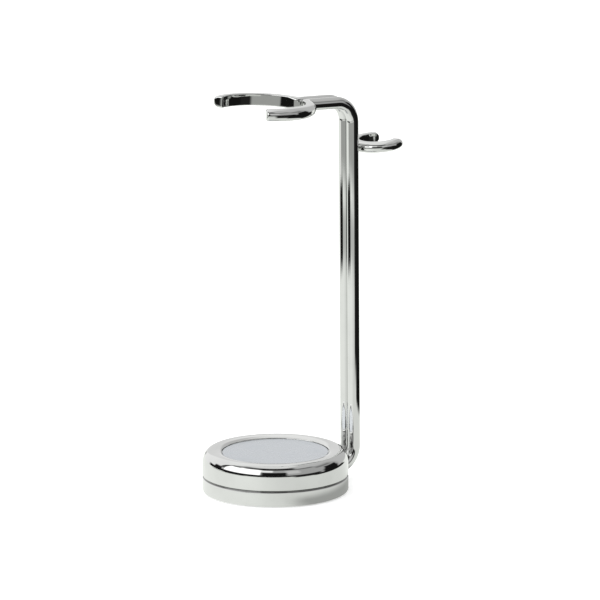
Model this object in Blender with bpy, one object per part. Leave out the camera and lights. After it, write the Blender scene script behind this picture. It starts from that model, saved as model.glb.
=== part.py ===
"""Stand for a shaving brush and a razor.

A weighted round base carries two bent rods, side by side. They rise behind the base, bend forward over it
and part into the two halves of an open ring, which holds the brush by its neck. A small open fork behind
the rods holds the razor.

Metres, +Z up. The origin is the centre of the underside. The ring opens towards -Y, the fork towards +Y.
"""
import bmesh
import bpy
from math import asin, copysign, cos, pi, radians, sin, sqrt, tan
from mathutils import Matrix, Vector

MM = 0.001
FIT_GAP = 0.3 * MM              # between neighbouring pieces

# Base
BASE_RADIUS = 27.5 * MM
CREST_HEIGHT = 16.0 * MM        # highest line of the rim, above the table
CREST_RADIUS = 23.9 * MM
SHOULDER_HEIGHT = 5.9 * MM      # from the crest down to the straight wall
SHOULDER_POWER = 2.4            # 2 for an ellipse, more for a squarer shoulder
INLAY_RADIUS = 20.0 * MM
INLAY_TOP = 15.0 * MM
INLAY_THICKNESS = 0.6 * MM
INLAY_EDGE = 0.15 * MM
RECESS_RADIUS = 20.3 * MM
SKIRT_HEIGHT = 0.35 * MM        # lower edge of the shell, above the table
SKIRT_ROUND = 0.7 * MM
WALL = 1.7 * MM
CEILING_HEIGHT = 11.5 * MM
GROOVE_HEIGHT = 6.1 * MM
GROOVE_HALF_WIDTH = 0.55 * MM
GROOVE_DEPTH = 0.5 * MM

# What the shell holds
PAD_THICKNESS = 0.7 * MM
PLATE_THICKNESS = 1.5 * MM
SLUG_CHAMFER = 0.8 * MM
SCREW_CIRCLE = 19.0 * MM
SCREW_ANGLES = (-90, 30, 150)   # degrees about Z, clear of the rods' channel
SCREW_RADIUS = 1.5 * MM
SCREW_HEAD_RADIUS = 2.7 * MM
SCREW_DEPTH = 7.0 * MM          # length, head included
DRIVE_RADIUS = 1.1 * MM
DRIVE_DEPTH = 0.8 * MM

# Rods
ROD_RADIUS = 2.33 * MM
ROD_PITCH = 4.95 * MM           # between the two rods' centrelines
ROD_END_Y = 9.0 * MM            # where the rods end inside the base
LEG_HEIGHT = 5.13 * MM
LEG_BEND = 8.2 * MM
POST_Y = 34.65 * MM
TOP_BEND = 8.3 * MM
ARM_RISE = radians(3.4)         # the arm and the ring rise towards the front
ARM_HEIGHT = 147.67 * MM        # the arm's centreline above the origin

# Brush ring, as two halves at the ends of the rods
RING_RADIUS = 18.0 * MM         # to the centreline
RING_Y = -4.9 * MM
RING_MOUTH = radians(62.7)      # half of the angle that the ring leaves open
CROTCH_BEND = 5.0 * MM
TIP_EDGE = 0.8 * MM             # rounding round the ring's square-cut ends

# Razor fork
FORK_RADIUS = 8.45 * MM
FORK_HEIGHT = 127.5 * MM
FORK_RISE = radians(3.6)
FORK_MOUTH = radians(63.4)
FORK_HALF_HEIGHT = 2.0 * MM

TURN_SEGMENTS = 72
BAR_SIDES = 20

PLATE_BOTTOM = PAD_THICKNESS + FIT_GAP
PLATE_TOP = PLATE_BOTTOM + PLATE_THICKNESS
SLUG_BOTTOM = PLATE_TOP + FIT_GAP
BORE_RADIUS = BASE_RADIUS - WALL
INNER_RADIUS = BORE_RADIUS - FIT_GAP


def clear_scene():
    """Removes every object of the open scene."""
    for thing in list(bpy.data.objects):
        bpy.data.objects.remove(thing, do_unlink=True)


def finish(name, color, metallic, roughness):
    """A plain Principled material."""
    material = bpy.data.materials.new(name)
    material.use_nodes = True
    shader = material.node_tree.nodes["Principled BSDF"]
    shader.inputs["Base Color"].default_value = (*color, 1)
    shader.inputs["Metallic"].default_value = metallic
    shader.inputs["Roughness"].default_value = roughness
    return material


def add_object(name, mesh, material=None, smooth_angle=radians(32)):
    """Turns a bmesh into a named object, shaded smooth except over sharp edges."""
    data = bpy.data.meshes.new(name)
    bmesh.ops.recalc_face_normals(mesh, faces=mesh.faces)
    mesh.to_mesh(data)
    mesh.free()
    data.shade_smooth()
    data.set_sharp_from_angle(angle=smooth_angle)
    if material:
        data.materials.append(material)
    thing = bpy.data.objects.new(name, data)
    bpy.context.scene.collection.objects.link(thing)
    return thing


def eased(value, power):
    """A sine or cosine bent towards a superellipse, its sign kept."""
    return copysign(abs(value) ** (2 / power), value)


def quarter(center, radii, start, steps=6, power=2):
    """Points of a quarter superellipse in the (radius, height) plane, from the angle start anticlockwise."""
    angles = [start + pi / 2 * step / steps for step in range(steps + 1)]
    return [(center[0] + radii[0] * eased(cos(angle), power), center[1] + radii[1] * eased(sin(angle), power))
            for angle in angles]


def turned(name, profile, material=None, segments=TURN_SEGMENTS, place=(0, 0)):
    """A solid turned about a vertical axis. The profile's (radius, height) points go up the outer side."""
    mesh = bmesh.new()
    points = [mesh.verts.new((radius, 0, height)) for radius, height in profile]
    edges = [mesh.edges.new(pair) for pair in zip(points, points[1:] + points[:1])]
    bmesh.ops.spin(mesh, geom=points + edges, cent=(0, 0, 0), axis=(0, 0, 1), angle=2 * pi, steps=segments)
    bmesh.ops.remove_doubles(mesh, verts=mesh.verts, dist=1e-6)
    bmesh.ops.translate(mesh, verts=mesh.verts, vec=(*place, 0))
    return add_object(name, mesh, material)


def as_cutter(thing):
    """Marks an object as a tool for cutting."""
    thing.hide_render = True
    thing.display_type = "WIRE"
    return thing


def cut(thing, cutter):
    """Takes the cutter's volume out of a piece."""
    modifier = thing.modifiers.new("Cut", "BOOLEAN")
    modifier.operation = "DIFFERENCE"
    modifier.solver = "EXACT"
    modifier.object = cutter


def section(outer, inner, half_height, squareness):
    """A bar's outline as (outward, up) points: round outside, flatter inside as squareness grows from 0."""
    points = []
    for side in range(BAR_SIDES):
        angle = 2 * pi * side / BAR_SIDES
        across, up = cos(angle), sin(angle)
        outside = across >= 0
        power = 1 if outside else 2 / (2 + 3 * squareness)
        depth = outer if outside else inner
        points.append((copysign(depth * abs(across) ** power, across),
                       copysign(half_height * abs(up) ** power, up)))
    return points


def walk_straight(frames, length):
    """Adds a frame straight ahead. A frame's X is outward, its Y is up and its Z is forward."""
    frames.append(frames[-1] @ Matrix.Translation((0, 0, length)))


def walk_bend(frames, radius, angle, axis, steps):
    """Adds frames round a bend of the given radius, turning about an axis of the last frame."""
    start = frames[-1]
    center = copysign(radius, angle) * Vector(axis).cross((0, 0, 1))
    for step in range(1, steps + 1):
        turn = Matrix.Rotation(angle * step / steps, 4, axis)
        frames.append(start @ Matrix.Translation(center) @ turn @ Matrix.Translation(-center))


def swept_bar(name, stations, material):
    """A bar through stations, each a frame and the outline there, with flat ends."""
    mesh = bmesh.new()
    loops = [[mesh.verts.new(frame @ Vector((out, up, 0))) for out, up in outline] for frame, outline in stations]
    for near, far in zip(loops, loops[1:]):
        for side in range(BAR_SIDES):
            after = (side + 1) % BAR_SIDES
            mesh.faces.new((near[side], near[after], far[after], far[side]))
    mesh.faces.new(loops[0])
    mesh.faces.new(loops[-1])
    return add_object(name, mesh, material)


def rounded_tip(frame, outer, inner, half_height):
    """Stations that round off the end of a flattened bar."""
    stations = []
    for angle in (radians(30), radians(54), radians(72)):
        shrink = cos(angle)
        ahead = frame @ Matrix.Translation((0, 0, half_height * sin(angle)))
        depth = sqrt(shrink)
        stations.append((ahead, section(outer * depth, inner * depth, half_height * shrink, 1)))
    return stations


def blunt_tip(frame, outer, inner, half_height):
    """Stations that end a flattened bar squarely, with a rounded edge."""
    stations = []
    for angle in (radians(30), radians(60), radians(90)):
        inset = TIP_EDGE * (1 - cos(angle))
        ahead = frame @ Matrix.Translation((0, 0, TIP_EDGE * sin(angle)))
        stations.append((ahead, section(outer - inset, inner - inset, half_height - inset, 1)))
    return stations


def base_shell(material):
    """The chromed cup: round shoulder, dished rim, recess for the inlay, side groove, open below."""
    shoulder = (BASE_RADIUS - CREST_RADIUS, SHOULDER_HEIGHT)
    rim_drop = CREST_HEIGHT - INLAY_TOP
    profile = [(BORE_RADIUS, SKIRT_HEIGHT)]
    profile += quarter((BASE_RADIUS - SKIRT_ROUND, SKIRT_HEIGHT + SKIRT_ROUND), (SKIRT_ROUND,) * 2, -pi / 2, 4)
    profile += [(BASE_RADIUS, GROOVE_HEIGHT - GROOVE_HALF_WIDTH),
                (BASE_RADIUS - GROOVE_DEPTH * 0.8, GROOVE_HEIGHT - GROOVE_HALF_WIDTH * 0.5),
                (BASE_RADIUS - GROOVE_DEPTH, GROOVE_HEIGHT),
                (BASE_RADIUS - GROOVE_DEPTH * 0.8, GROOVE_HEIGHT + GROOVE_HALF_WIDTH * 0.5),
                (BASE_RADIUS, GROOVE_HEIGHT + GROOVE_HALF_WIDTH)]
    profile += quarter((CREST_RADIUS, CREST_HEIGHT - shoulder[1]), shoulder, 0, 8, SHOULDER_POWER)
    profile += quarter((CREST_RADIUS, INLAY_TOP), (CREST_RADIUS - RECESS_RADIUS, rim_drop), pi / 2, 6)[1:]
    profile += [(RECESS_RADIUS, INLAY_TOP - INLAY_THICKNESS - FIT_GAP),
                (0, INLAY_TOP - INLAY_THICKNESS - FIT_GAP),
                (0, CEILING_HEIGHT),
                (BORE_RADIUS, CEILING_HEIGHT)]
    return turned("base_shell", profile, material)


def top_inlay(material):
    """The satin disc let into the top of the base."""
    bottom = INLAY_TOP - INLAY_THICKNESS
    profile = [(0, bottom), (INLAY_RADIUS, bottom), (INLAY_RADIUS, INLAY_TOP - INLAY_EDGE),
               (INLAY_RADIUS - INLAY_EDGE, INLAY_TOP), (0, INLAY_TOP)]
    return turned("top_inlay", profile, material)


def weight_slug(material):
    """The cast-iron weight that fills the shell and holds the rods' ends in a channel open below."""
    top = CEILING_HEIGHT - FIT_GAP
    profile = [(0, SLUG_BOTTOM), (INNER_RADIUS, SLUG_BOTTOM), (INNER_RADIUS, top - SLUG_CHAMFER),
               (INNER_RADIUS - SLUG_CHAMFER, top), (0, top)]
    return turned("weight_slug", profile, material)


def closing_plate(material):
    """The steel plate screwed under the weight. It closes the shell and clamps the rods in their channel."""
    profile = [(0, PLATE_BOTTOM), (INNER_RADIUS, PLATE_BOTTOM), (INNER_RADIUS, PLATE_TOP), (0, PLATE_TOP)]
    return turned("closing_plate", profile, material)


def foot_pad(material):
    """The soft pad under the base, on which the stand rests."""
    profile = [(0, 0), (INNER_RADIUS, 0), (INNER_RADIUS, PAD_THICKNESS), (0, PAD_THICKNESS)]
    return turned("foot_pad", profile, material)


def screw_places():
    """Centres of the plate's screws."""
    angles = [radians(angle) for angle in SCREW_ANGLES]
    return [(SCREW_CIRCLE * cos(angle), SCREW_CIRCLE * sin(angle)) for angle in angles]


def screw_profile(grow):
    """Half outline of a countersunk screw, its flat head down, or of its hole where grow is the clearance."""
    head_bottom = PLATE_BOTTOM + FIT_GAP / 2 - grow
    head_top = head_bottom + SCREW_HEAD_RADIUS - SCREW_RADIUS
    tip = PLATE_BOTTOM + SCREW_DEPTH + grow
    return [(0, head_bottom), (SCREW_HEAD_RADIUS + grow, head_bottom), (SCREW_RADIUS + grow, head_top),
            (SCREW_RADIUS + grow, tip), (0, tip)]


def plate_screw(number, place, material):
    """A countersunk screw with a round drive recess, turned in from below."""
    screw = turned(f"plate_screw_{number}", screw_profile(0), material, 24, place)
    floor = PLATE_BOTTOM + DRIVE_DEPTH
    below = PLATE_BOTTOM - FIT_GAP
    recess = turned(f"drive_cutter_{number}",
                    [(0, below), (DRIVE_RADIUS, below), (DRIVE_RADIUS, floor), (0, floor)], None, 12, place)
    cut(screw, as_cutter(recess))
    return screw


def rod_channel(name, start, down_to):
    """A cutter along Y round both rods' legs. Its floor is flat where it reaches below their round sides."""
    reach = ROD_RADIUS + FIT_GAP
    outline = []
    for side, first in ((1, 0), (-1, pi / 2)):
        for step in range(9):
            angle = first + pi / 2 * step / 8
            outline.append((side * ROD_PITCH / 2 + reach * cos(angle), LEG_HEIGHT + reach * sin(angle)))
    if down_to < LEG_HEIGHT - reach:
        outline += [(-ROD_PITCH / 2 - reach, down_to), (ROD_PITCH / 2 + reach, down_to)]
    else:
        outline += [(-across, 2 * LEG_HEIGHT - up) for across, up in outline[1:-1]]
    mesh = bmesh.new()
    face = mesh.faces.new([mesh.verts.new((across, start, up)) for across, up in outline])
    grown = bmesh.ops.extrude_face_region(mesh, geom=[face])["geom"]
    moved = [item for item in grown if isinstance(item, bmesh.types.BMVert)]
    bmesh.ops.translate(mesh, verts=moved, vec=(0, POST_Y - start, 0))
    return as_cutter(add_object(name, mesh))


def rod(name, side, material):
    """One rod from its end in the base to its half of the ring, as its bends follow each other."""
    half_pitch = ROD_PITCH / 2
    turn = pi / 2 - ARM_RISE
    bend_end_y = POST_Y - TOP_BEND + TOP_BEND * cos(turn)
    post_top = ARM_HEIGHT - bend_end_y * tan(ARM_RISE) - TOP_BEND * sin(turn)
    meet = asin((half_pitch + CROTCH_BEND) / (RING_RADIUS + CROTCH_BEND))
    arm_length = bend_end_y - RING_Y - (RING_RADIUS + CROTCH_BEND) * cos(meet)

    outward = Vector((side, 0, 0))
    forward = Vector((0, 1, 0))
    up = forward.cross(outward)
    start = Matrix((outward, up, forward)).transposed().to_4x4()
    start.translation = (side * half_pitch, ROD_END_Y, LEG_HEIGHT)
    frames = [start]
    walk_straight(frames, POST_Y - LEG_BEND - ROD_END_Y)
    walk_bend(frames, LEG_BEND, side * pi / 2, (1, 0, 0), 8)
    walk_straight(frames, post_top - LEG_HEIGHT - LEG_BEND)
    walk_bend(frames, TOP_BEND, side * turn, (1, 0, 0), 8)
    walk_straight(frames, arm_length)
    round_frames = len(frames)
    walk_bend(frames, CROTCH_BEND, pi / 2 - meet, (0, 1, 0), 8)
    ring_start = len(frames)
    walk_bend(frames, RING_RADIUS, meet + RING_MOUTH - pi, (0, 1, 0), 18)

    stations = []
    for index, frame in enumerate(frames):
        flattened = min(max((index - round_frames + 1) / (ring_start - round_frames), 0), 1)
        inner = ROD_RADIUS * (1 - 0.25 * flattened)
        stations.append((frame, section(ROD_RADIUS, inner, ROD_RADIUS, flattened)))
    stations += blunt_tip(frames[-1], ROD_RADIUS, ROD_RADIUS * 0.75, ROD_RADIUS)
    return swept_bar(name, stations, material)


def razor_fork(material):
    """The open fork behind the rods, bent from one flattened bar."""
    thick_out, thick_in = ROD_RADIUS * 0.9, ROD_RADIUS * 0.75
    root_y = POST_Y + ROD_RADIUS + FIT_GAP + thick_out
    half_sweep = pi - FORK_MOUTH
    center = Matrix.Translation((0, root_y, FORK_HEIGHT)) @ Matrix.Rotation(FORK_RISE, 4, "X")
    center = center @ Matrix.Translation((0, FORK_RADIUS, 0))
    stations = []
    steps = 30
    for step in range(steps + 1):
        angle = -half_sweep + 2 * half_sweep * step / steps
        facing = Matrix.Rotation(angle - pi / 2, 4, "Z") @ Matrix.Translation((FORK_RADIUS, 0, 0))
        upright = Matrix(((1, 0, 0), (0, 0, 1), (0, 1, 0))).to_4x4()
        stations.append((center @ facing @ upright, section(thick_out, thick_in, FORK_HALF_HEIGHT, 1)))
    first, last = stations[0][0], stations[-1][0]
    backward = first @ Matrix.Scale(-1, 4, (0, 0, 1))
    start = rounded_tip(backward, thick_out, thick_in, FORK_HALF_HEIGHT)
    end = rounded_tip(last, thick_out, thick_in, FORK_HALF_HEIGHT)
    return swept_bar("razor_fork", start[::-1] + stations + end, material)


def build():
    """Makes every piece of the stand."""
    clear_scene()
    chrome = finish("chrome", (0.80, 0.81, 0.82), 1.0, 0.06)
    satin = finish("satin_chrome", (0.74, 0.76, 0.79), 1.0, 0.28)
    iron = finish("cast_iron", (0.16, 0.16, 0.17), 1.0, 0.65)
    steel = finish("zinc_steel", (0.55, 0.56, 0.57), 1.0, 0.4)
    foam = finish("black_foam", (0.02, 0.02, 0.022), 0.0, 0.9)

    shell = base_shell(chrome)
    top_inlay(satin)
    slug = weight_slug(iron)
    plate = closing_plate(steel)
    foot_pad(foam)
    for number, place in enumerate(screw_places(), 1):
        plate_screw(number, place, steel)
        hole = as_cutter(turned(f"screw_cutter_{number}", screw_profile(FIT_GAP), None, 24, place))
        cut(slug, hole)
        cut(plate, hole)
    cut(shell, rod_channel("wall_cutter", POST_Y - 2 * LEG_BEND, LEG_HEIGHT))
    cut(slug, rod_channel("channel_cutter", ROD_END_Y - FIT_GAP, 0))
    rod("rod_left", -1, chrome)
    rod("rod_right", 1, chrome)
    razor_fork(chrome)


build()
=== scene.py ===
"""Looks of a chrome stand for a shaving brush and a razor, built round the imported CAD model.

Every piece is modelled in metres where the frame has it. The stand rests on Z = 0, its brush ring opens
towards -Y, and the razor fork is behind the rods, towards +Y.
"""

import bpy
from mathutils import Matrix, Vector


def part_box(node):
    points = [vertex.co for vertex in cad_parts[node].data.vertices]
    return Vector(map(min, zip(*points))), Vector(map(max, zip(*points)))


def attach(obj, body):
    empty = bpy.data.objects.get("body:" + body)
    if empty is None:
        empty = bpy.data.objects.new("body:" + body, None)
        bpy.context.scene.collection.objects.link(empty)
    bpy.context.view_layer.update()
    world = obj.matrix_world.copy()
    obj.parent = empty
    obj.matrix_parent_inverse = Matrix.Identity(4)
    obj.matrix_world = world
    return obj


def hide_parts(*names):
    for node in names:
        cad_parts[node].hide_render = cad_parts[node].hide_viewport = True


bl_info = {
    "name": "Shaving Stand Finisher",
    "version": (1, 0, 0),
    "blender": (4, 5, 0),
    "location": "3D View > Sidebar > Shaving Stand",
    "description": "Models and finishes a chrome stand for a shaving brush and a razor",
    "category": "Add Mesh",
}

from math import asin, copysign, cos, pi, radians, sin, sqrt, tan

import bmesh
import bpy
from bpy.props import FloatProperty, FloatVectorProperty, PointerProperty
from mathutils import Matrix, Vector

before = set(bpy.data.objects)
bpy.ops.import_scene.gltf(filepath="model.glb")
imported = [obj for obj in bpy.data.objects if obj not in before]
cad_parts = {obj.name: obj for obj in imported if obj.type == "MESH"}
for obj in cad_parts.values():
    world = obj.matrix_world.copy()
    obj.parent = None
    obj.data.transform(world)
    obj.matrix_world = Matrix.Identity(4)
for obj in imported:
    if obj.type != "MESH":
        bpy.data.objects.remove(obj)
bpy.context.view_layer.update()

MM = 0.001
SHELL_LOW, SHELL_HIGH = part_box("base_shell")
INLAY_LOW, INLAY_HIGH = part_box("top_inlay")
ROD_LOW, ROD_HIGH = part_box("rod_right")
FORK_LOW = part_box("razor_fork")[0]
PAD_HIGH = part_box("foot_pad")[1]

ROD_RADIUS = 2.33 * MM
POST_Y = ROD_HIGH.y - ROD_RADIUS    # the rods' centrelines at the post
LEG_HEIGHT = ROD_LOW.z + ROD_RADIUS
ROD_HOLD_Y = 9 * MM             # where the rods end inside the weight
SLOT_PLAY = 0.6 * MM            # how much wider than the rods their slot is
SLOT_LENGTH = 8 * MM
FOOT_EDGE = 0.7 * MM            # rounding of the shell's lower edge
INNER_SHARE = 0.75              # inner half width of the ring and fork, in rod radii
FORK_SHARE = 0.9                # outer half width of the fork, in rod radii
FORK_HALF = 2 * MM              # half height of the fork
ROUND_SHARE = 0.985             # how much of a bar's half height its round corners take
EASED_SHARE = 0.2               # the same for corners that are just eased
TIP_TURN = radians(80)          # how far the fork's tips are rounded
LOOP_REACH = 4 * MM             # no edge loop of a rod or the fork is wider than this from its middle
ON_PLANE = 2e-6
TURN_STEPS = 192                # round the base
BEND_STEPS = 24                 # along a bend of the rods
RING_STEPS = 72
FORK_STEPS = 96
SMOOTH_ANGLE = radians(35)

# Two directions of hairlines: how each is turned, and how often it repeats along its axes.
HAIRLINES = (((0.3, 0.2, 0.6), (2200.0, 60.0, 1500.0)),
             ((1.1, -0.4, 2.0), (60.0, 2600.0, 1300.0)))

FLOOR_SIZE = 8                  # metres
# The painted floor reflection: a glowing sheet seen only in the plate's reflections, with its radius, height
# and tint.
MIRROR_RADIUS = 6
MIRROR_HEIGHT = 0.3 * MM
PAINTED_REFLECTION_TINT = (0.98, 1.0, 0.965, 1)
AIM = Vector((0, 0, 0.07))      # what the softbox points at
CAMERA_REACH = 50

# What the polished plate reflects, as soft windows laid one over another on a base brightness. A row holds
# the middle and half width of the turn from -Y towards +X in degrees, its softness, the middle and half width
# of the rise in degrees or of the distance in metres, its softness, and the brightness.
SKY_BASE = 0.46
PAINTED_FLOOR_BASE = 1.06
SKY_WINDOWS = (
    (-108, 68, 16, 35, 60, 12, 1.05),       # white wall on the left
    (-158, 26, 12, 20, 32, 14, 0.62),       # its far end
    (-124, 16, 8, 13, 10, 8, 0.84),         # a paler part low on the wall
    (0, 180, 1, 90, 24, 10, 0.95),          # ceiling
    (150, 50, 14, 58, 14, 8, 0.62),         # shade under the ceiling's far right
    (-2, 33, 3, 28, 21, 4, 1.70),           # key light
    (41, 10, 4, 33, 7, 4, 1.20),            # its upper corner
    (62, 10, 6, 31, 6, 4, 0.46),            # dim panel beside it
    (84, 12, 8, 24, 10, 6, 0.70),           # second, weaker light on the right
    (-49, 9, 4, 5, 13, 8, 0.01),            # gap beside the key light
    (-41, 4, 4, 29, 12, 6, 0.02),           # its upper part
    (-28, 14, 6, 46, 5, 4, 0.20),           # gap over the key light
    (10, 24, 10, 52, 8, 5, 0.10),           # the same gap, running on to the right
    (60, 36, 10, 51, 9, 5, 0.01),
    (112, 20, 12, 43, 5, 5, 0.22),
    (147, 18, 8, 32, 5, 5, 0.25),
    (156, 14, 5, 8, 14, 6, 0.01),           # doorway behind the stand on the right
    (53, 20.5, 7, 9, 14, 4, 0.01),          # open room behind the camera
    (-10, 62, 8, 1, 7, 3, 0.01),            # horizon
    (100, 32, 10, 0, 5, 3, 0.02),
    (155, 17, 8, 2, 9, 4, 0.01),
    (-124, 1.5, 1, 0, 4, 3, 0.03),          # three narrow posts on the left's horizon
    (-107, 3, 2, 0, 4, 3, 0.03),
    (-142, 3, 2, 0, 4, 3, 0.03),
)
# Brightness of the painted floor reflection by turn and distance, with less light on the right, a painted
# shadow at the base's foot, and dark bands and patches.
PAINTED_FLOOR_WINDOWS = (
    (110, 65, 50, 0, 1.2, 0.2, 0.88),       # less light on the right of the floor
    (130, 55, 30, 0.03, 0.01, 0.012, 0.45), # shade at the foot of the base
    (45, 45, 20, 0.40, 0.05, 0.06, 0.62),   # a darker band before the stand
    (35, 62, 12, 3.6, 3.08, 0.10, 0.44),    # edge of the table towards the camera
    (-15, 20, 6, 3.4, 2.6, 0.2, 0.01),      # dark cloths: in front, nearer on the left, on the right
    (-25, 33, 8, 0.42, 0.09, 0.05, 0.01),
    (114, 30, 10, 3.6, 3.42, 0.08, 0.02),
    (150, 36, 8, 3.4, 3.26, 0.02, 0.01),    # dark cloth behind the stand
)


# Properties

def size_prop(name, description, default, low=0.0):
    """A length in metres."""
    return FloatProperty(name=name, description=description, default=default, min=low, precision=5,
                         subtype="DISTANCE", unit="LENGTH")


def angle_prop(name, description, degrees):
    """An angle, given in degrees and kept in radians."""
    return FloatProperty(name=name, description=description, default=radians(degrees), subtype="ANGLE",
                         unit="ROTATION")


def color_prop(name, description, default):
    """A linear colour."""
    return FloatVectorProperty(name=name, description=description, default=default, min=0.0, max=1.0,
                               size=3, subtype="COLOR")


class StandSizes(bpy.types.PropertyGroup):
    """Sizes of the stand's pieces."""

    base_radius: size_prop("Base radius", "Outer radius of the round base", SHELL_HIGH.x)
    crest_height: size_prop("Crest height", "Highest line of the base's rim", SHELL_HIGH.z)
    crest_radius: size_prop("Crest radius", "Radius of the rim's highest line", 23.9 * MM)
    shoulder_drop: size_prop("Shoulder drop", "Height of the rim's round shoulder", 5.9 * MM)
    shoulder_power: FloatProperty(name="Shoulder power", default=2.4, min=1.0,
                                  description="2 for an ellipse, more for a squarer one")
    recess_radius: size_prop("Recess radius", "Radius of the recess round the inlay", 20.3 * MM)
    wall: size_prop("Wall", "Thickness of the base's side wall", 1.7 * MM)
    ceiling: size_prop("Ceiling", "Height of the hollow inside the base", 11.5 * MM)
    groove_height: size_prop("Groove height", "Middle of the groove round the base", 6.1 * MM)
    groove_depth: size_prop("Groove depth", "Depth of the groove round the base", 0.5 * MM)
    groove_half: size_prop("Groove half width", "Half of the groove's width", 0.55 * MM)
    inlay_edge: size_prop("Inlay edge", "Rounding of the inlay's edge", 0.16 * MM)
    rod_radius: size_prop("Rod radius", "Radius of the two rods", ROD_RADIUS)
    rod_pitch: size_prop("Rod pitch", "Distance between the rods' centrelines", 4.95 * MM)
    leg_bend: size_prop("Leg bend", "Radius of the bend behind the base", 8.2 * MM)
    top_bend: size_prop("Top bend", "Radius of the bend at the top", 8.3 * MM)
    arm_height: size_prop("Arm height", "Height of the arm's line above the origin", 147.67 * MM)
    arm_rise: angle_prop("Arm rise", "Slope of the arm and the ring towards the front", 3.4)
    ring_radius: size_prop("Ring radius", "Radius of the ring's centreline", 18.0 * MM)
    ring_y: FloatProperty(name="Ring place", description="Place of the ring along Y, before its slope",
                          default=-4.9 * MM, precision=5, subtype="DISTANCE", unit="LENGTH")
    ring_mouth: angle_prop("Ring mouth", "Half of the angle that the ring leaves open", 62.7)
    crotch_bend: size_prop("Crotch bend", "Radius where the rods part into the ring", 5.0 * MM)
    tip_edge: size_prop("Tip edge", "Rounding of the ring's square-cut ends", 0.8 * MM)
    fork_radius: size_prop("Fork radius", "Radius of the razor fork's centreline", 8.45 * MM)
    fork_height: size_prop("Fork height", "Height of the razor fork at the rods", 127.5 * MM)
    fork_rise: angle_prop("Fork rise", "Slope of the razor fork away from the rods", 3.6)
    fork_mouth: angle_prop("Fork mouth", "Half of the angle that the fork leaves open", 63.4)


class StandColors(bpy.types.PropertyGroup):
    """Colours of the stand's finishes."""

    chrome: color_prop("Chrome", "Tint of the polished plate", (0.700, 0.706, 0.696))
    satin: color_prop("Satin", "Tint of the inlay's satin plate", (0.60, 0.63, 0.665))
    foam: color_prop("Foam", "Colour of the pad under the base", (0.018, 0.018, 0.020))
    iron: color_prop("Iron", "Colour of the cast weight", (0.10, 0.10, 0.105))
    zinc: color_prop("Zinc", "Colour of the plated steel inside", (0.50, 0.52, 0.55))
    floor: color_prop("Floor", "Colour of the studio floor", (0.90, 0.90, 0.90))


class StandStudio(bpy.types.PropertyGroup):
    """The camera and the light."""

    azimuth: angle_prop("Azimuth", "Camera's turn from the front towards +X", 55.0)
    elevation: angle_prop("Elevation", "Camera's height angle", 12.916)
    roll: angle_prop("Roll", "Camera's roll", -0.372)
    distance: size_prop("Distance", "Camera's distance from its target", 2.9472)
    lens: FloatProperty(name="Lens", description="Camera's focal length in millimetres", default=473.97)
    target_x: size_prop("Target X", "Camera target along X", 16.876 * MM)
    target_z: size_prop("Target Z", "Camera target above the floor", 76.657 * MM)
    world_light: FloatProperty(name="World light", description="Strength of the all-round light", default=1.0)
    softbox_power: FloatProperty(name="Softbox power", description="Power of the softbox in watts",
                                 default=8.0)


def sizes():
    """The scene's size settings."""
    return bpy.context.scene.stand_sizes


# Modelling by operator

def deselect():
    """Leaves edit mode and selects nothing."""
    if bpy.context.object and bpy.context.object.mode != "OBJECT":
        bpy.ops.object.mode_set(mode="OBJECT")
    bpy.ops.object.select_all(action="DESELECT")


def name_piece(name):
    """Names the active object and its mesh."""
    piece = bpy.context.object
    piece.name = name
    piece.data.name = name
    return piece


def push(vector):
    """Extrudes the selection along a vector."""
    bpy.ops.mesh.extrude_region_move(TRANSFORM_OT_translate={"value": vector})


def finish_mesh(piece):
    """Merges doubles, turns the faces outwards and shades the piece smooth over its soft edges."""
    bpy.ops.mesh.select_all(action="SELECT")
    bpy.ops.mesh.remove_doubles(threshold=1e-6)
    bpy.ops.mesh.normals_make_consistent(inside=False)
    bpy.ops.object.mode_set(mode="OBJECT")
    bpy.ops.object.shade_smooth_by_angle(angle=SMOOTH_ANGLE)
    return piece


def turn_outline(name, outline, steps=TURN_STEPS):
    """Turns a half outline of (radius, height) points, both ends on the axis, about Z, as on a lathe."""
    deselect()
    bpy.ops.mesh.primitive_plane_add(size=MM, enter_editmode=True)
    piece = name_piece(name)
    bpy.ops.mesh.merge(type="CENTER")
    first = Vector((outline[0][0], 0, outline[0][1]))
    bpy.ops.transform.translate(value=first)
    here = first
    for radius, height in outline[1:]:
        there = Vector((radius, 0, height))
        push(there - here)
        here = there
    bpy.ops.mesh.select_all(action="SELECT")
    bpy.ops.mesh.spin(steps=steps, angle=2 * pi, center=(0, 0, 0), axis=(0, 0, 1))
    return finish_mesh(piece)


def corner(center, radii, start, steps, way, power=2.0):
    """Points of a quarter superellipse of radius and height, from the angle start; way -1 is clockwise."""
    angles = [start + way * pi / 2 * step / steps for step in range(steps + 1)]
    return [tuple(middle + reach * copysign(abs(part) ** (2 / power), part) for middle, reach, part in
                  zip(center, radii, (cos(angle), sin(angle)))) for angle in angles]


def bar_frame(place, outward, up):
    """A frame for a bar's cross-section: X points outward, Y up and Z along the bar."""
    forward = Vector(outward).cross(up)
    matrix = Matrix((outward, up, forward)).transposed().to_4x4()
    matrix.translation = place
    return matrix


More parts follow.
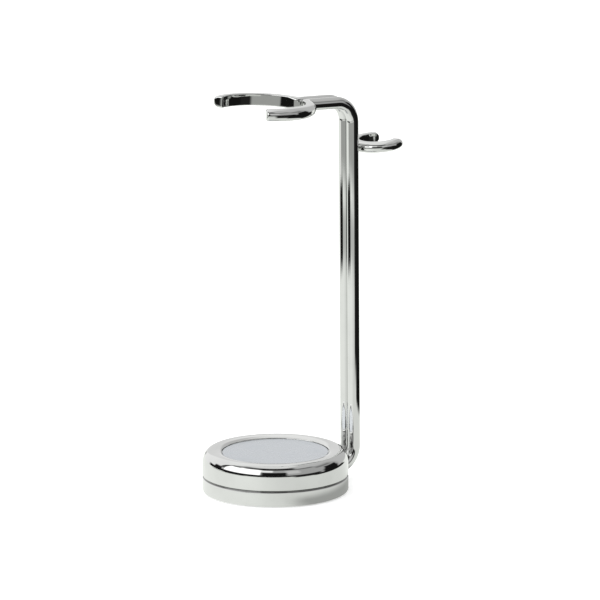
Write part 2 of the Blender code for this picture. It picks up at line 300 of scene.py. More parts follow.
def flattened_loop(name, matrix, outer, inner, half_height, round_all=False):
    """The edge loop of a bar: its outer corners rounded, its inner ones eased or, for a rod, as round."""
    deselect()
    bpy.ops.mesh.primitive_plane_add(size=1)
    piece = name_piece(name)
    piece.scale = (outer + inner, 2 * half_height, 1)
    piece.location = ((outer - inner) / 2, 0, 0)
    bpy.ops.object.transform_apply(location=True, rotation=True, scale=True)
    bpy.ops.object.mode_set(mode="EDIT")
    full = ROUND_SHARE * min(outer, half_height)
    middle = (outer - inner) / 2
    for outside, ease in ((True, full), (False, full if round_all else EASED_SHARE * half_height)):
        bpy.ops.mesh.select_all(action="DESELECT")
        select_verts(lambda point: (point.x > middle) == outside and abs(abs(point.y) - half_height) < 1e-6
                     and abs(abs(point.x - middle) - (outer + inner) / 2) < 1e-6)
        bpy.ops.mesh.bevel(offset=ease, segments=11, affect="VERTICES", clamp_overlap=False)
    bpy.ops.mesh.select_all(action="SELECT")
    bpy.ops.mesh.delete(type="ONLY_FACE")
    bpy.ops.object.mode_set(mode="OBJECT")
    piece.matrix_world = matrix
    bpy.ops.object.transform_apply(location=True, rotation=True, scale=True)
    bpy.ops.object.mode_set(mode="EDIT")
    bpy.ops.mesh.select_all(action="SELECT")
    return piece


def select_verts(test):
    """Selects the vertices whose place passes a test, with the edges and faces between them."""
    mesh = bmesh.from_edit_mesh(bpy.context.object.data)
    for vertex in mesh.verts:
        vertex.select = vertex.select or test(vertex.co)
    mesh.select_flush(True)
    bmesh.update_edit_mesh(bpy.context.object.data)


def loop_middle():
    """The middle of the selected vertices."""
    mesh = bmesh.from_edit_mesh(bpy.context.object.data)
    chosen = [vertex.co for vertex in mesh.verts if vertex.select]
    return sum(chosen, Vector()) / len(chosen)


def round_tip(forward, outward, up, half_height, steps=10):
    """Draws the selected end loop in to a rounded tip and closes it."""
    axes = Matrix((outward, up, Vector(outward).cross(up))).transposed()
    last = 0.0
    for step in range(1, steps + 1):
        angle = TIP_TURN * step / steps
        push(Vector(forward) * half_height * (sin(angle) - sin(last)))
        shrink = cos(angle) / cos(last)
        bpy.ops.transform.resize(value=(sqrt(shrink), shrink, 1), orient_type="GLOBAL", orient_matrix=axes,
                                 orient_matrix_type="GLOBAL", center_override=loop_middle())
        last = angle
    bpy.ops.mesh.edge_face_add()


def blunt_tip(forward, outward, up, width, height, edge, steps=6):
    """Ends the selected loop squarely, with a rounded edge, and closes it."""
    axes = Matrix((outward, up, Vector(outward).cross(up))).transposed()
    last, inset = 0.0, 0.0
    for step in range(1, steps + 1):
        angle = pi / 2 * step / steps
        push(Vector(forward) * edge * (sin(angle) - sin(last)))
        before, inset = inset, edge * (1 - cos(angle))
        shrink = ((width - 2 * inset) / (width - 2 * before), (height - 2 * inset) / (height - 2 * before), 1)
        bpy.ops.transform.resize(value=shrink, orient_type="GLOBAL", orient_matrix=axes,
                                 orient_matrix_type="GLOBAL", center_override=loop_middle())
        last = angle
    bpy.ops.mesh.edge_face_add()


def select_loop(matrix, extend=False):
    """Selects the vertices that lie in a frame's XY plane, near its origin."""
    if not extend:
        bpy.ops.mesh.select_all(action="DESELECT")
    inverse = matrix.inverted()
    select_verts(lambda point: abs((inverse @ point).z) < ON_PLANE
                 and (inverse @ point).length < LOOP_REACH)


def swing(angle, center, axis, steps):
    """Extrudes the selection round an axis, right-handed."""
    bpy.ops.mesh.spin(steps=steps, angle=-angle, center=center, axis=axis)


def push_straight(vector, ease=0.3 * MM):
    """Extrudes a straight run with a short stretch at each end, so that its shading stays straight."""
    vector = Vector(vector)
    short = vector.normalized() * ease
    for part in (short, vector - 2 * short, short):
        push(part)


# The base

def shell_outline():
    """The base shell's half outline, from the middle of its recess round to the middle of its ceiling."""
    size = sizes()
    rim = size.base_radius - size.crest_radius
    recess_edge, recess_floor = INLAY_HIGH.z, INLAY_LOW.z - 0.3 * MM
    ease = 0.15 * MM
    outline = [(0, recess_floor), (size.recess_radius, recess_floor),
               (size.recess_radius, recess_edge - ease)]
    outline += corner((size.crest_radius, recess_edge), (size.crest_radius - size.recess_radius,
                                                         size.crest_height - recess_edge), pi, 20, -1)
    shoulder = size.crest_height - size.shoulder_drop
    outline += corner((size.crest_radius, shoulder), (rim, size.shoulder_drop), pi / 2, 36, -1,
                      size.shoulder_power)[1:]
    top, depth, half = size.groove_height, size.groove_depth, size.groove_half
    outline += [(size.base_radius, shoulder - ease),
                (size.base_radius, top + half + ease)]
    outline += [(size.base_radius - depth * inward, top + half * up) for inward, up in
                ((0, 1.0), (0.12, 0.86), (0.8, 0.5), (0.97, 0.2), (1, 0), (0.97, -0.2), (0.8, -0.5),
                 (0.12, -0.86), (0, -1.0))]
    foot = SHELL_LOW.z + FOOT_EDGE
    outline += [(size.base_radius, top - half - ease), (size.base_radius, foot + ease)]
    outline += corner((size.base_radius - FOOT_EDGE, foot), (FOOT_EDGE, FOOT_EDGE), 0, 8, -1)
    inner = size.base_radius - size.wall
    outline += [(inner, SHELL_LOW.z), (inner, size.ceiling), (0, size.ceiling)]
    return outline


def rod_slot_cutter():
    """A long block with round corners that clears the rods where they pass the shell's rear wall."""
    size = sizes()
    deselect()
    width = size.rod_pitch + 2 * size.rod_radius + SLOT_PLAY
    height = 2 * size.rod_radius + SLOT_PLAY
    bpy.ops.mesh.primitive_cube_add(size=1, location=(0, size.base_radius, LEG_HEIGHT))
    cutter = name_piece("rod_slot_cutter")
    cutter.scale = (width, SLOT_LENGTH, height)
    bpy.ops.object.transform_apply(location=True, rotation=True, scale=True)
    bpy.ops.object.mode_set(mode="EDIT")
    bpy.ops.mesh.select_mode(type="EDGE")
    bpy.ops.mesh.select_all(action="DESELECT")
    mesh = bmesh.from_edit_mesh(cutter.data)
    for edge in mesh.edges:
        edge.select = abs(edge.verts[0].co.y - edge.verts[1].co.y) > MM
    mesh.select_flush(True)
    bmesh.update_edit_mesh(cutter.data)
    bpy.ops.mesh.bevel(offset=height / 2 - 0.01 * MM, segments=12, affect="EDGES")
    bpy.ops.mesh.select_mode(type="VERT")
    bpy.ops.object.mode_set(mode="OBJECT")
    return cutter


class STAND_OT_base_shell(bpy.types.Operator):
    """Turns the round base shell and cuts the slot for the rods"""
    bl_idname = "stand.base_shell"
    bl_label = "Base Shell"

    def execute(self, context):
        piece = turn_outline("base_shell_finish", shell_outline())
        cutter = rod_slot_cutter()
        deselect()
        piece.select_set(True)
        context.view_layer.objects.active = piece
        hole = piece.modifiers.new("Rod slot", "BOOLEAN")
        hole.operation, hole.solver, hole.object = "DIFFERENCE", "EXACT", cutter
        bpy.ops.object.modifier_apply(modifier=hole.name)
        bpy.data.objects.remove(cutter)
        bpy.ops.object.mode_set(mode="EDIT")
        finish_mesh(piece)
        settle(piece, "base_shell", chrome_material("Base Chrome", 1.0, sizes().groove_height))
        return {"FINISHED"}


class STAND_OT_inlay(bpy.types.Operator):
    """Turns the flat satin disc that lies in the recess of the base"""
    bl_idname = "stand.inlay"
    bl_label = "Satin Inlay"

    def execute(self, context):
        edge = sizes().inlay_edge
        radius, low, high = INLAY_HIGH.x, INLAY_LOW.z, INLAY_HIGH.z
        outline = [(0, high), (radius * 0.5, high), (radius - 2 * edge, high)]
        outline += corner((radius - edge, high - edge), (edge, edge), pi / 2, 8, -1)
        outline += [(radius, low), (0, low)]
        piece = turn_outline("inlay_finish", outline)
        settle(piece, "top_inlay", satin_material())
        return {"FINISHED"}


class STAND_OT_foot_pad(bpy.types.Operator):
    """Turns the foam pad that the base rests on"""
    bl_idname = "stand.foot_pad"
    bl_label = "Foam Foot Pad"

    def execute(self, context):
        radius, high, edge = PAD_HIGH.x, PAD_HIGH.z, 0.2 * MM
        outline = [(0, high), (radius - edge, high)]
        outline += corner((radius - edge, high - edge), (edge, edge), pi / 2, 4, -1)[1:]
        outline += corner((radius - edge, edge), (edge, edge), 0, 4, -1) + [(0, 0)]
        piece = turn_outline("foot_pad_finish", outline, 96)
        settle(piece, "foot_pad", foam_material())
        return {"FINISHED"}


# The rods, the ring and the fork

def ring_axes(side):
    """The ring's centre and its axes: outward on one side, back towards the rods, and up."""
    size = sizes()
    back = Vector((0, cos(size.arm_rise), -sin(size.arm_rise)))
    up = Vector((0, sin(size.arm_rise), cos(size.arm_rise)))
    center = Vector((0, size.ring_y, size.arm_height - size.ring_y * tan(size.arm_rise)))
    return center, Vector((side, 0, 0)), back, up


def ring_frame(side, angle):
    """The frame of the ring's cross-section at an angle from the rods."""
    center, out, back, up = ring_axes(side)
    outward = sin(angle) * out + cos(angle) * back
    return bar_frame(center + outward * sizes().ring_radius, outward, up)


def bend_rod(side):
    """One rod: a leg into the base, a post, an arm, and half of the brush ring."""
    size = sizes()
    meet = asin((size.rod_pitch / 2 + size.crotch_bend) / (size.ring_radius + size.crotch_bend))
    center, out, back, up = ring_axes(side)
    name = "rod_right_finish" if side > 0 else "rod_left_finish"

    start = ring_frame(side, meet)
    end_angle = pi - size.ring_mouth
    ring = flattened_loop(name, start, size.rod_radius, INNER_SHARE * size.rod_radius, size.rod_radius)
    swing(-side * (end_angle - meet), center, up, RING_STEPS)
    outward = sin(end_angle) * out + cos(end_angle) * back
    blunt_tip(cos(end_angle) * out - sin(end_angle) * back, outward, up,
              (1 + INNER_SHARE) * size.rod_radius, 2 * size.rod_radius, size.tip_edge)
    bpy.ops.object.mode_set(mode="OBJECT")

    x = side * size.rod_pitch / 2
    begin = bar_frame(Vector((x, ROD_HOLD_Y, LEG_HEIGHT)), Vector((side, 0, 0)), Vector((0, 0, 1)))
    bar = flattened_loop("bar", begin, size.rod_radius, size.rod_radius, size.rod_radius, round_all=True)
    bpy.ops.mesh.edge_face_add()
    push_straight((0, POST_Y - size.leg_bend - ROD_HOLD_Y, 0))
    swing(pi / 2, (x, POST_Y - size.leg_bend, LEG_HEIGHT + size.leg_bend), (1, 0, 0), BEND_STEPS)
    turn = pi / 2 - size.arm_rise
    bend_y = POST_Y - size.top_bend
    bend_end_y = bend_y + size.top_bend * cos(turn)
    post_top = size.arm_height - bend_end_y * tan(size.arm_rise) - size.top_bend * sin(turn)
    push_straight((0, 0, post_top - LEG_HEIGHT - size.leg_bend))
    swing(turn, (x, bend_y, post_top), (1, 0, 0), BEND_STEPS)
    arm = bend_end_y / cos(size.arm_rise) - size.ring_y / cos(size.arm_rise)
    arm -= (size.ring_radius + size.crotch_bend) * cos(meet)
    push_straight(-back * arm)
    finish_at = loop_middle()
    bpy.ops.mesh.delete(type="ONLY_FACE")
    bpy.ops.object.mode_set(mode="OBJECT")

    bpy.ops.object.select_all(action="DESELECT")
    bar.select_set(True)
    ring.select_set(True)
    bpy.context.view_layer.objects.active = ring
    bpy.ops.object.join()
    bpy.ops.object.mode_set(mode="EDIT")
    select_loop(start)
    select_loop(bar_frame(finish_at, Vector((side, 0, 0)), up), extend=True)
    bpy.ops.mesh.bridge_edge_loops(number_cuts=20, interpolation="PATH", smoothness=1.0)
    return finish_mesh(ring)


class STAND_OT_rods(bpy.types.Operator):
    """Bends the two rods, whose flattened ends make the brush ring"""
    bl_idname = "stand.rods"
    bl_label = "Rods and Brush Ring"

    def execute(self, context):
        chrome = chrome_material("Rod Chrome", 1.6)
        for side, node in ((-1, "rod_left"), (1, "rod_right")):
            settle(bend_rod(side), node, chrome)
        return {"FINISHED"}


class STAND_OT_razor_fork(bpy.types.Operator):
    """Bends the small fork that holds a razor behind the rods"""
    bl_idname = "stand.razor_fork"
    bl_label = "Razor Fork"

    def execute(self, context):
        size = sizes()
        away = Vector((0, cos(size.fork_rise), sin(size.fork_rise)))
        up = Vector((0, -sin(size.fork_rise), cos(size.fork_rise)))
        outer, inner = FORK_SHARE * size.rod_radius, INNER_SHARE * size.rod_radius
        root = Vector((0, FORK_LOW.y + outer, size.fork_height))
        center = root + away * size.fork_radius
        ends = pi - size.fork_mouth

        def place(angle):
            outward = Vector((sin(angle), 0, 0)) - cos(angle) * away
            return bar_frame(center + outward * size.fork_radius, outward, up)

        piece = flattened_loop("razor_fork_finish", place(-ends), outer, inner, FORK_HALF)
        swing(2 * ends, center, up, FORK_STEPS)
        for angle in (ends, -ends):
            select_loop(place(angle))
            along = Vector((cos(angle), 0, 0)) + sin(angle) * away
            outward = Vector((sin(angle), 0, 0)) - cos(angle) * away
            round_tip(along if angle > 0 else -along, outward, up, FORK_HALF)
        finish_mesh(piece)
        settle(piece, "razor_fork", chrome_material("Fork Chrome", 1.8))
        return {"FINISHED"}


class STAND_OT_inner_metal(bpy.types.Operator):
    """Finishes the cast weight, the closing plate and its screws"""
    bl_idname = "stand.inner_metal"
    bl_label = "Weight and Plate"

    def execute(self, context):
        iron, zinc = iron_material(), zinc_material()
        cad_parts["weight_slug"].material_slots[0].material = iron
        for node in ("closing_plate", "plate_screw_1", "plate_screw_2", "plate_screw_3"):
            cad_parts[node].material_slots[0].material = zinc
        return {"FINISHED"}


def settle(piece, node, material):
    """Gives a piece its material, hides the CAD node that it stands in for, and puts it under its body."""
    piece.data.materials.clear()
    piece.data.materials.append(material)
    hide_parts(node)
    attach(piece, "root")


# Finishes

def new_group(name, inputs, outputs):
    """A shader node group with named sockets, and its two end nodes."""
    tree = bpy.data.node_groups.new(name, "ShaderNodeTree")
    for label, kind, default in inputs:
        socket = tree.interface.new_socket(name=label, in_out="INPUT", socket_type="NodeSocket" + kind)
        if default is not None:
            socket.default_value = default
    for label, kind in outputs:
        tree.interface.new_socket(name=label, in_out="OUTPUT", socket_type="NodeSocket" + kind)
    return tree, tree.nodes.new("NodeGroupInput"), tree.nodes.new("NodeGroupOutput")


def add_node(tree, kind, inputs=(), **settings):
    """A node of one kind, with its settings, and its inputs linked or filled by name or number."""
    node = tree.nodes.new("ShaderNode" + kind)
    for key, value in settings.items():
        setattr(node, key, value)
    for key, value in dict(inputs).items():
        if isinstance(value, bpy.types.NodeSocket):
            tree.links.new(value, node.inputs[key])
        else:
            node.inputs[key].default_value = value
    return node


def math_node(tree, operation, *values):
    """A math node's result."""
    return add_node(tree, "Math", dict(enumerate(values)), operation=operation).outputs[0]


def remap(tree, value, low, high, new_low, new_high, smooth=False):
    """A value carried from one range to another and kept within it."""
    node = add_node(tree, "MapRange", {"Value": value, "From Min": low, "From Max": high, "To Min": new_low,
                                       "To Max": new_high})
    node.interpolation_type = "SMOOTHSTEP" if smooth else "LINEAR"
    return node.outputs["Result"]


def polish_group():
    """Soft haze and hairline scratches of hand-polished plate."""
    if "Polish Marks" in bpy.data.node_groups:
        return bpy.data.node_groups["Polish Marks"]
    tree, start, end = new_group("Polish Marks", (("Place", "Vector", None), ("Density", "Float", 1.0),
                                                  ("Smooth", "Float", 0.03), ("Hazy", "Float", 0.08)),
                                 (("Roughness", "Float"), ("Height", "Float"), ("Haze", "Float")))
    cloud = add_node(tree, "TexNoise", {"Vector": start.outputs["Place"], "Scale": 90.0, "Detail": 3.0,
                                        "Roughness": 0.55})
    haze = remap(tree, cloud.outputs["Fac"], 0.42, 0.72, 0.0, 1.0, True)
    heights = []
    for turned, stretch in HAIRLINES:
        mapping = add_node(tree, "Mapping", {"Vector": start.outputs["Place"], "Rotation": turned,
                                             "Scale": stretch})
        hair = add_node(tree, "TexNoise", {"Vector": mapping.outputs[0], "Scale": start.outputs["Density"],
                                           "Detail": 1.0})
        heights.append(remap(tree, hair.outputs["Fac"], 0.60, 0.74, 0.0, 1.0))
    scratch = math_node(tree, "MAXIMUM", heights[0], heights[1])
    marked = math_node(tree, "MAXIMUM", haze, math_node(tree, "MULTIPLY", scratch, 0.5))
    spread = math_node(tree, "SUBTRACT", start.outputs["Hazy"], start.outputs["Smooth"])
    rough = math_node(tree, "MULTIPLY_ADD", marked, spread, start.outputs["Smooth"])
    tree.links.new(rough, end.inputs["Roughness"])
    tree.links.new(math_node(tree, "MULTIPLY", scratch, -1.0), end.inputs["Height"])
    tree.links.new(haze, end.inputs["Haze"])
    return tree


def grain_group():
    """Fine and coarse grain for cast, foamed and plated surfaces."""
    if "Surface Grain" in bpy.data.node_groups:
        return bpy.data.node_groups["Surface Grain"]
    tree, start, end = new_group("Surface Grain", (("Place", "Vector", None), ("Scale", "Float", 900.0),
                                                   ("Pits", "Float", 0.5)),
                                 (("Height", "Float"), ("Tone", "Float")))
    noise = add_node(tree, "TexNoise", {"Vector": start.outputs["Place"], "Scale": start.outputs["Scale"],
                                        "Detail": 4.0, "Roughness": 0.6})
    cells = add_node(tree, "TexVoronoi", {"Vector": start.outputs["Place"], "Scale": start.outputs["Scale"]})
    pit = remap(tree, cells.outputs["Distance"], 0.0, 0.45, 0.0, 1.0, True)
    pits = math_node(tree, "MULTIPLY", pit, start.outputs["Pits"])
    tree.links.new(math_node(tree, "ADD", noise.outputs["Fac"], pits), end.inputs["Height"])
    broad = add_node(tree, "TexNoise", {"Vector": start.outputs["Place"], "Scale": 160.0, "Detail": 3.0})
    tone = math_node(tree, "MULTIPLY_ADD", noise.outputs["Fac"], 0.5, math_node(
        tree, "MULTIPLY", broad.outputs["Fac"], 0.5))
    tree.links.new(tone, end.inputs["Tone"])
    return tree


def turning_group():
    """Fine rings left round the Z axis by a lathe or a spinning brush, slightly broken along their length."""
    tree, start, end = new_group("Turned Rings", (("Place", "Vector", None), ("Fineness", "Float", 9000.0)),
                                 (("Height", "Float"), ("Tone", "Float")))
    split = add_node(tree, "SeparateXYZ", {"Vector": start.outputs["Place"]})
    square = math_node(tree, "ADD", math_node(tree, "POWER", split.outputs["X"], 2.0),
                       math_node(tree, "POWER", split.outputs["Y"], 2.0))
    radius = math_node(tree, "SQRT", square)
    angle = math_node(tree, "ARCTAN2", split.outputs["Y"], split.outputs["X"])
    rings = add_node(tree, "CombineXYZ", {
        "X": math_node(tree, "MULTIPLY", radius, start.outputs["Fineness"]),
        "Y": math_node(tree, "MULTIPLY", math_node(tree, "COSINE", angle), 1.6),
        "Z": math_node(tree, "MULTIPLY", math_node(tree, "SINE", angle), 1.6)})
    noise = add_node(tree, "TexNoise", {"Vector": rings.outputs[0], "Scale": 1.0, "Detail": 3.0})
    tree.links.new(noise.outputs["Fac"], end.inputs["Height"])
    tree.links.new(remap(tree, noise.outputs["Fac"], 0.3, 0.7, 0.0, 1.0), end.inputs["Tone"])
    return tree


def new_material(name):
    """A material with its Principled shader and the object's own coordinates."""
    material = bpy.data.materials.new(name)
    material.use_nodes = True
    tree = material.node_tree
    shader = tree.nodes["Principled BSDF"]
    place = add_node(tree, "TexCoord").outputs["Object"]
    return material, tree, shader, place


def use_group(tree, group, **inputs):
    """A group placed in a material, its inputs filled by name."""
    node = tree.nodes.new("ShaderNodeGroup")
    node.node_tree = group
    for key, value in inputs.items():
        if isinstance(value, bpy.types.NodeSocket):
            tree.links.new(value, node.inputs[key])
        else:
            node.inputs[key].default_value = value
    return node


def blend_colors(tree, factor, first, second):
    """A mix of two colours, each a value or a socket, by a mask."""
    node = add_node(tree, "Mix", data_type="RGBA")
    tree.links.new(factor, node.inputs["Factor"])
    for socket, color in ((node.inputs[6], first), (node.inputs[7], second)):
        if isinstance(color, bpy.types.NodeSocket):
            tree.links.new(color, socket)
        else:
            socket.default_value = (*color, 1)
    return node.outputs[2]


def tint(color, factor):
    """A colour made lighter or darker."""
    return [min(1.0, part * factor) for part in color]


def add_bump(tree, shader, height, distance):
    """Bumps the shader's normal."""
    bump = add_node(tree, "Bump", {"Height": height, "Distance": distance, "Strength": 1.0})
    tree.links.new(bump.outputs[0], shader.inputs["Normal"])


def chrome_material(name, density, groove_shade_height=None):
    """Bright plate with a soft haze and hairlines, and painted shade darkening a groove round it at a given
    height.
    """
    colors = bpy.context.scene.stand_colors
    material, tree, shader, place = new_material(name)
    marks = use_group(tree, polish_group(), Place=place, Density=density, Smooth=0.025, Hazy=0.055)
    color = blend_colors(tree, marks.outputs["Haze"], colors.chrome, tint(colors.chrome, 0.955))
    # painted shade: the plate's colour is darkened inside the groove round the base
    if groove_shade_height:
        split = add_node(tree, "SeparateXYZ", {"Vector": place})
        away = math_node(tree, "ABSOLUTE", math_node(tree, "SUBTRACT", split.outputs["Z"], groove_shade_height))
        across = add_node(tree, "CombineXYZ", {"X": split.outputs["X"], "Y": split.outputs["Y"]})
        radius = add_node(tree, "VectorMath", {0: across.outputs[0]}, operation="LENGTH").outputs["Value"]
        low = remap(tree, away, 0.5 * MM, 0.3 * MM, 0.0, 1.0, True)
        inside = remap(tree, radius, SHELL_HIGH.x - 0.05 * MM, SHELL_HIGH.x - 0.2 * MM, 0.0, 1.0, True)
        color = blend_colors(tree, math_node(tree, "MULTIPLY", low, inside), color, tint(colors.chrome, 0.3))
    tree.links.new(color, shader.inputs["Base Color"])
    tree.links.new(marks.outputs["Roughness"], shader.inputs["Roughness"])
    shader.inputs["Metallic"].default_value = 1.0
    add_bump(tree, shader, marks.outputs["Height"], 0.4e-6)
    return material


def satin_material():
    """Blue-grey satin plate, brushed in circles."""
    colors = bpy.context.scene.stand_colors
    material, tree, shader, place = new_material("Satin Chrome")
    rings = use_group(tree, turning_group(), Place=place, Fineness=7000.0)
    marks = use_group(tree, polish_group(), Place=place, Density=1.4, Smooth=0.26, Hazy=0.36)
    color = blend_colors(tree, rings.outputs["Tone"], tint(colors.satin, 0.94), tint(colors.satin, 1.05))
    tree.links.new(color, shader.inputs["Base Color"])
    tree.links.new(marks.outputs["Roughness"], shader.inputs["Roughness"])
    shader.inputs["Metallic"].default_value = 1.0
    height = math_node(tree, "ADD", rings.outputs["Height"], marks.outputs["Height"])
    add_bump(tree, shader, height, 4e-6)
    return material


def foam_material():
    """Black closed-cell foam."""
    colors = bpy.context.scene.stand_colors
    material, tree, shader, place = new_material("Black Foam")
    grain = use_group(tree, grain_group(), Place=place, Scale=1600.0, Pits=1.0)
    color = blend_colors(tree, grain.outputs["Tone"], tint(colors.foam, 0.6), tint(colors.foam, 1.9))
    tree.links.new(color, shader.inputs["Base Color"])
    rough = remap(tree, grain.outputs["Tone"], 0.3, 0.7, 0.82, 0.96)
    tree.links.new(rough, shader.inputs["Roughness"])
    shader.inputs["Specular IOR Level"].default_value = 0.3
    add_bump(tree, shader, grain.outputs["Height"], 6e-5)
    return material


def iron_material():
    """Sand-cast iron."""
    colors = bpy.context.scene.stand_colors
    material, tree, shader, place = new_material("Cast Iron")
    grain = use_group(tree, grain_group(), Place=place, Scale=1100.0, Pits=0.4)
    color = blend_colors(tree, grain.outputs["Tone"], tint(colors.iron, 0.7), tint(colors.iron, 1.4))
    tree.links.new(color, shader.inputs["Base Color"])
    tree.links.new(remap(tree, grain.outputs["Tone"], 0.3, 0.7, 0.5, 0.7), shader.inputs["Roughness"])
    shader.inputs["Metallic"].default_value = 0.9
    add_bump(tree, shader, grain.outputs["Height"], 4e-5)
    return material


def zinc_material():
    """Zinc-plated steel with fine grain and faint polish marks in its roughness."""
    colors = bpy.context.scene.stand_colors
    material, tree, shader, place = new_material("Zinc Steel")
    grain = use_group(tree, grain_group(), Place=place, Scale=500.0, Pits=0.1)
    marks = use_group(tree, polish_group(), Place=place, Density=1.0, Smooth=0.28, Hazy=0.42)
    color = blend_colors(tree, grain.outputs["Tone"], tint(colors.zinc, 0.85), tint(colors.zinc, 1.15))
    tree.links.new(color, shader.inputs["Base Color"])
    tree.links.new(marks.outputs["Roughness"], shader.inputs["Roughness"])
    shader.inputs["Metallic"].default_value = 1.0
    add_bump(tree, shader, grain.outputs["Height"], 1e-5)
    return material


# The studio

def floor_material(color):
    """Pale paper that is lit from below as well, for a faint shadow."""
    material, tree, shader, place = new_material("Studio Floor")
    noise = add_node(tree, "TexNoise", {"Vector": place, "Scale": 40.0, "Detail": 3.0})
    blend = blend_colors(tree, noise.outputs["Fac"], tint(color, 0.99), tint(color, 1.01))
    tree.links.new(blend, shader.inputs["Base Color"])
    tree.links.new(blend, shader.inputs["Emission Color"])
    shader.inputs["Emission Strength"].default_value = 0.4
    shader.inputs["Roughness"].default_value = 0.9
    shader.inputs["Specular IOR Level"].default_value = 0.2
    return material


def window_group():
    """A soft-edged window in turn (degrees, wrapping round) and level."""
    labels = ("Turn", "Level", "Turn Middle", "Turn Half", "Turn Soft", "Level Middle", "Level Half",
              "Level Soft")
    tree, start, end = new_group("Soft Window", [(label, "Float", 0.0) for label in labels],
                                 (("Mask", "Float"),))
    masks = []
    for label in ("Turn", "Level"):
        away = math_node(tree, "SUBTRACT", start.outputs[label], start.outputs[label + " Middle"])
        if label == "Turn":
            away = math_node(tree, "WRAP", away, 180.0, -180.0)
        away = math_node(tree, "ABSOLUTE", away)
        beyond = math_node(tree, "SUBTRACT", away, start.outputs[label + " Half"])
        ratio = math_node(tree, "DIVIDE", beyond, start.outputs[label + " Soft"])
        masks.append(remap(tree, ratio, 0.5, -0.5, 0.0, 1.0, True))
    tree.links.new(math_node(tree, "MULTIPLY", *masks), end.inputs["Mask"])
    return tree


def lay_windows(tree, turn, level, windows, base):
    """Brightness of soft windows laid one over another on a base brightness."""
    group = bpy.data.node_groups.get("Soft Window") or window_group()
    light = None
    for turn_middle, turn_half, turn_soft, level_middle, level_half, level_soft, brightness in windows:
        window = use_group(tree, group, Turn=turn, Level=level)
        for label, value in (("Turn Middle", turn_middle), ("Turn Half", turn_half), ("Turn Soft", turn_soft),
                             ("Level Middle", level_middle), ("Level Half", level_half),
                             ("Level Soft", level_soft)):
            window.inputs[label].default_value = value
        mask = window.outputs["Mask"]
        mix = add_node(tree, "Mix", {"Factor": mask})
        if light is None:
            mix.inputs[2].default_value = base
        else:
            tree.links.new(light, mix.inputs[2])
        mix.inputs[3].default_value = brightness
        light = mix.outputs[0]
    return light


def turn_of(tree, split):
    """The turn of a vector from -Y towards +X, in degrees."""
    ahead = math_node(tree, "MULTIPLY", split.outputs["Y"], -1.0)
    return math_node(tree, "DEGREES", math_node(tree, "ARCTAN2", split.outputs["X"], ahead))


def add_room(scene, plain_light):
    """An even white light, save that the plate reflects a room with soft lights and dark gaps."""
    world = bpy.data.worlds.new("Studio Room")
    scene.world = world
    world.use_nodes = True
    tree = world.node_tree
    background = tree.nodes["Background"]
    background.inputs["Color"].default_value = (1, 1, 1, 1)
    split = add_node(tree, "SeparateXYZ", {"Vector": add_node(tree, "TexCoord").outputs["Generated"]})
    rise = math_node(tree, "DEGREES", math_node(tree, "ARCSINE", split.outputs["Z"]))
    light = lay_windows(tree, turn_of(tree, split), rise, SKY_WINDOWS, SKY_BASE)
    choice = add_node(tree, "Mix", {"Factor": add_node(tree, "LightPath").outputs["Is Glossy Ray"]})
    choice.inputs[2].default_value = plain_light
    tree.links.new(light, choice.inputs[3])
    tree.links.new(choice.outputs[0], background.inputs["Strength"])


def add_painted_floor_reflection():
    """A glowing sheet that only the plate's reflections see: a painted reflection of the floor, with painted
    shade at the base's foot and dark patches that stand for cloths out of the camera's sight.
    """
    deselect()
    bpy.ops.mesh.primitive_circle_add(vertices=96, radius=MIRROR_RADIUS, fill_type="NGON",
                                      location=(0, 0, MIRROR_HEIGHT))
    sheet = name_piece("painted_floor_reflection")
    bpy.ops.object.transform_apply(location=True, rotation=True, scale=True)
    material = bpy.data.materials.new("Painted Floor Reflection")
    material.use_nodes = True
    tree = material.node_tree
    tree.nodes.remove(tree.nodes["Principled BSDF"])
    place = add_node(tree, "TexCoord").outputs["Object"]
    reach = add_node(tree, "VectorMath", {0: place}, operation="LENGTH").outputs["Value"]
    turn = turn_of(tree, add_node(tree, "SeparateXYZ", {"Vector": place}))
    light = lay_windows(tree, turn, reach, PAINTED_FLOOR_WINDOWS, PAINTED_FLOOR_BASE)
    glow = add_node(tree, "Emission", {"Strength": light, "Color": PAINTED_REFLECTION_TINT})
    tree.links.new(glow.outputs[0], tree.nodes["Material Output"].inputs["Surface"])
    sheet.data.materials.append(material)
    sheet.visible_camera = sheet.visible_diffuse = False
    sheet.visible_shadow = sheet.visible_transmission = False


def add_softbox(name, place, size, power):
    """A square area light aimed at the stand."""
    light = bpy.data.lights.new(name, "AREA")
    light.shape, light.size, light.size_y, light.energy = "RECTANGLE", size[0], size[1], power
    box = bpy.data.objects.new(name, light)
    bpy.context.scene.collection.objects.link(box)
    place = Vector(place)
    box.matrix_world = Matrix.Translation(place) @ (place - AIM).to_track_quat("Z", "Y").to_matrix().to_4x4()
    box.visible_camera = box.visible_glossy = False


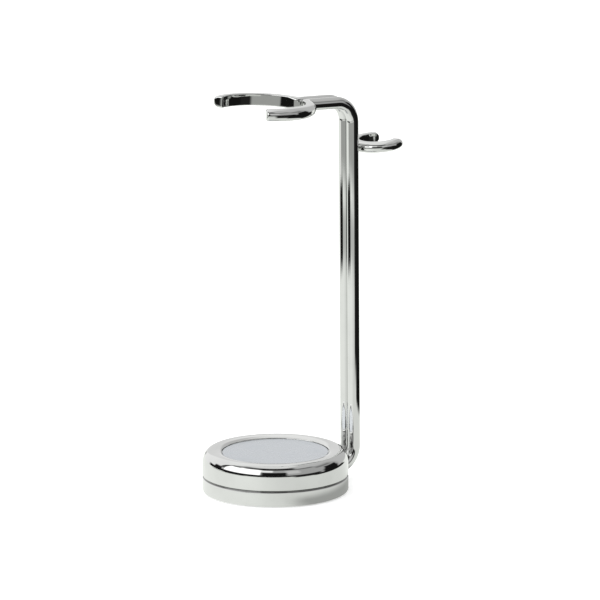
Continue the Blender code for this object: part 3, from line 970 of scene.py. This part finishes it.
class STAND_OT_studio(bpy.types.Operator):
    """Sets the pale floor, the soft light, the room that the plate reflects, the painted floor reflection,
    and the camera
    """
    bl_idname = "stand.studio"
    bl_label = "Studio"

    def execute(self, context):
        scene, studio = context.scene, context.scene.stand_studio
        deselect()
        bpy.ops.mesh.primitive_plane_add(size=2, enter_editmode=True)
        floor = name_piece("studio_floor")
        bpy.ops.mesh.subdivide(number_cuts=3)
        bpy.ops.transform.resize(value=(FLOOR_SIZE / 2, FLOOR_SIZE / 2, 1))
        bpy.ops.object.mode_set(mode="OBJECT")
        floor.data.materials.append(floor_material(scene.stand_colors.floor))

        add_painted_floor_reflection()
        add_room(scene, studio.world_light)
        add_softbox("overhead_softbox", (-0.5, -0.5, 1.6), (1.0, 1.0), studio.softbox_power)

        scene.view_settings.view_transform = "Standard"
        scene.view_settings.look = "None"
        target = Vector((studio.target_x, 0, studio.target_z))
        turn, rise = studio.azimuth, studio.elevation
        back = Vector((sin(turn) * cos(rise), -cos(turn) * cos(rise), sin(rise)))
        right = (-back).cross(Vector((0, 0, 1))).normalized()
        upward = right.cross(-back)
        rolled_right = cos(studio.roll) * right + sin(studio.roll) * upward
        rolled_up = -sin(studio.roll) * right + cos(studio.roll) * upward
        matrix = Matrix((rolled_right, rolled_up, back)).transposed().to_4x4()
        matrix.translation = target + back * studio.distance
        camera = bpy.data.objects.new("camera", bpy.data.cameras.new("camera"))
        scene.collection.objects.link(camera)
        camera.matrix_world = matrix
        camera.data.lens = studio.lens
        camera.data.clip_end = CAMERA_REACH
        scene.camera = camera
        return {"FINISHED"}


# The add-on

class STAND_PT_panel(bpy.types.Panel):
    """Lists the stand's pieces"""
    bl_idname = "STAND_PT_panel"
    bl_label = "Shaving Stand"
    bl_space_type = "VIEW_3D"
    bl_region_type = "UI"
    bl_category = "Shaving Stand"

    def draw(self, context):
        column = self.layout.column(align=True)
        for operator in OPERATORS:
            column.operator(operator.bl_idname)
        for group in ("stand_sizes", "stand_colors", "stand_studio"):
            settings = getattr(context.scene, group)
            box = self.layout.box()
            for name in settings.__annotations__:
                box.prop(settings, name)


OPERATORS = (STAND_OT_base_shell, STAND_OT_inlay, STAND_OT_foot_pad, STAND_OT_rods, STAND_OT_razor_fork,
             STAND_OT_inner_metal, STAND_OT_studio)
CLASSES = (StandSizes, StandColors, StandStudio) + OPERATORS + (STAND_PT_panel,)


def register():
    for item in CLASSES:
        bpy.utils.register_class(item)
    bpy.types.Scene.stand_sizes = PointerProperty(type=StandSizes)
    bpy.types.Scene.stand_colors = PointerProperty(type=StandColors)
    bpy.types.Scene.stand_studio = PointerProperty(type=StandStudio)


def unregister():
    del bpy.types.Scene.stand_studio, bpy.types.Scene.stand_colors, bpy.types.Scene.stand_sizes
    for item in reversed(CLASSES):
        bpy.utils.unregister_class(item)


def main():
    """Builds every piece and the studio."""
    register()
    bpy.ops.stand.base_shell()
    bpy.ops.stand.inlay()
    bpy.ops.stand.foot_pad()
    bpy.ops.stand.rods()
    bpy.ops.stand.razor_fork()
    bpy.ops.stand.inner_metal()
    bpy.ops.stand.studio()
    deselect()


if __name__ == "__main__":
    main()
